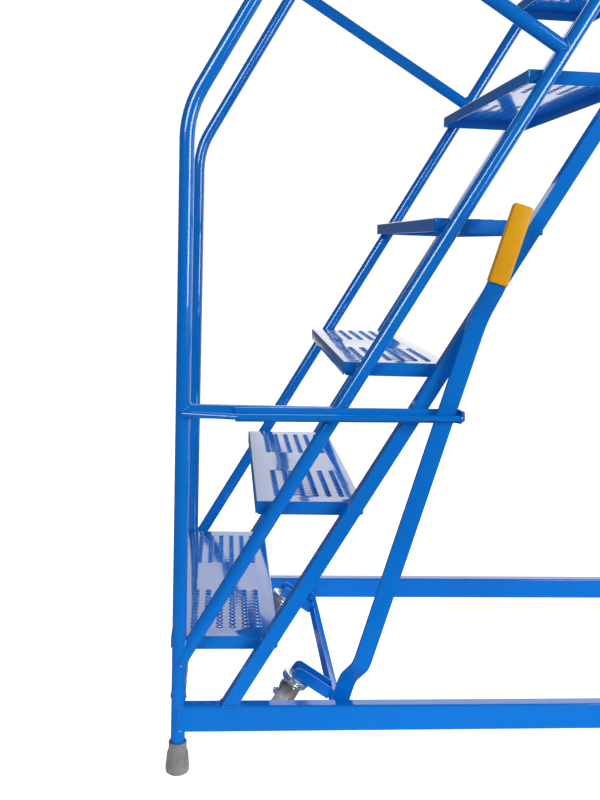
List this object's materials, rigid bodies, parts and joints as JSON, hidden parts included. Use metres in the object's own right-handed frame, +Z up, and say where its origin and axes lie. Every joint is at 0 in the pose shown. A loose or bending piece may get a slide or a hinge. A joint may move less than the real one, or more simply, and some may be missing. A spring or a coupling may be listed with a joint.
{
  "type": "rolling warehouse ladder",
  "caption": "Tubular steel rolling step ladder with punched treads, guarded platform, handrails, lever-lowered swivel castors in front and fixed wheels behind.",
  "frame": {"origin": "centre of the right front foot's underside, on the floor", "axes": "+X the climbing direction, from the front feet to the rear wheels; +Y towards the ladder's left side; +Z up"},
  "size_m": [1.488, 0.7444, 2.7908],
  "materials": {
    "frame_paint": "gloss powder coat",
    "tread_paint": "gloss powder coat, punched grip teeth",
    "foot_rubber": "matte moulded rubber",
    "grip_vinyl": "dipped vinyl",
    "zinc_plate": "bright zinc plate",
    "castor_rubber": "grey non-marking tread",
    "wheel_rubber": "grey solid tyre",
    "wheel_centre": "moulded nylon"
  },
  "bodies": {
    "frame": {"right_handrail": "frame_paint", "left_handrail": "frame_paint", "right_front_stile": "frame_paint", "left_front_stile": "frame_paint", "right_rear_stile": "frame_paint", "left_rear_stile": "frame_paint", "right_base_rail": "frame_paint", "left_base_rail": "frame_paint", "right_strut": "frame_paint", "left_strut": "frame_paint", "right_rear_leg": "frame_paint", "left_rear_leg": "frame_paint", "right_platform_rail": "frame_paint", "left_platform_rail": "frame_paint", "right_upright": "frame_paint", "left_upright": "frame_paint", "right_mid_rail": "frame_paint", "left_mid_rail": "frame_paint", "front_cross_tube": "frame_paint", "rear_cross_rail": "frame_paint", "leg_crossbars": "frame_paint", "rear_guard_rails": "frame_paint", "toe_boards": "frame_paint", "tread_1": "tread_paint", "tread_2": "tread_paint", "tread_3": "tread_paint", "tread_4": "tread_paint", "tread_5": "tread_paint", "tread_6": "tread_paint", "platform_deck": "tread_paint", "lever_guide_tube": "frame_paint", "lever_guide_strap": "frame_paint", "right_foot": "foot_rubber", "left_foot": "foot_rubber", "pivot_bushes": "frame_paint", "right_wheel_bracket": "frame_paint", "left_wheel_bracket": "frame_paint", "rear_axle_bolts": "zinc_plate"},
    "lever_carriage": {"hand_lever": "frame_paint", "lever_grip": "grip_vinyl", "cross_angle": "frame_paint", "pivot_ear": "frame_paint", "pivot_stubs": "frame_paint", "right_castor_arm": "frame_paint", "left_castor_arm": "frame_paint", "castor_kingpins": "zinc_plate"},
    "right_castor": {"right_castor_fork": "zinc_plate", "right_castor_axle": "zinc_plate"},
    "right_castor_wheel": {"right_castor_wheel": "castor_rubber"},
    "right_rear_wheel": {"right_rear_tyre": "wheel_rubber", "right_rear_rim": "wheel_centre"},
    "left_castor": {"left_castor_fork": "zinc_plate", "left_castor_axle": "zinc_plate"},
    "left_castor_wheel": {"left_castor_wheel": "castor_rubber"},
    "left_rear_wheel": {"left_rear_tyre": "wheel_rubber", "left_rear_rim": "wheel_centre"}
  },
  "joints": [
    {"name": "lever_tilt", "type": "hinge", "parent": "frame", "child": "lever_carriage", "pos_m": [0.295, 0.3177, 0.104], "axis": [0, -1, 0], "range_deg": [0, 34]},
    {"name": "right_castor_swivel", "type": "hinge", "parent": "lever_carriage", "child": "right_castor", "pos_m": [0.22468, 0.11, 0.12851], "axis": [0.5592, 0, 0.829], "continuous": true},
    {"name": "right_castor_roll", "type": "hinge", "parent": "right_castor", "child": "right_castor_wheel", "pos_m": [0.20178, 0.13165, 0.07219], "axis": [-0.718, 0.5, 0.4843], "continuous": true},
    {"name": "left_castor_swivel", "type": "hinge", "parent": "lever_carriage", "child": "left_castor", "pos_m": [0.22468, 0.5254, 0.12851], "axis": [0.5592, 0, 0.829], "continuous": true},
    {"name": "left_castor_roll", "type": "hinge", "parent": "left_castor", "child": "left_castor_wheel", "pos_m": [0.20178, 0.50375, 0.07219], "axis": [0.718, 0.5, -0.4843], "continuous": true},
    {"name": "right_rear_roll", "type": "hinge", "parent": "frame", "child": "right_rear_wheel", "pos_m": [1.404, 0, 0.0625], "axis": [0, 1, 0], "continuous": true},
    {"name": "left_rear_roll", "type": "hinge", "parent": "frame", "child": "left_rear_wheel", "pos_m": [1.404, 0.6354, 0.0625], "axis": [0, 1, 0], "continuous": true}
  ]
}
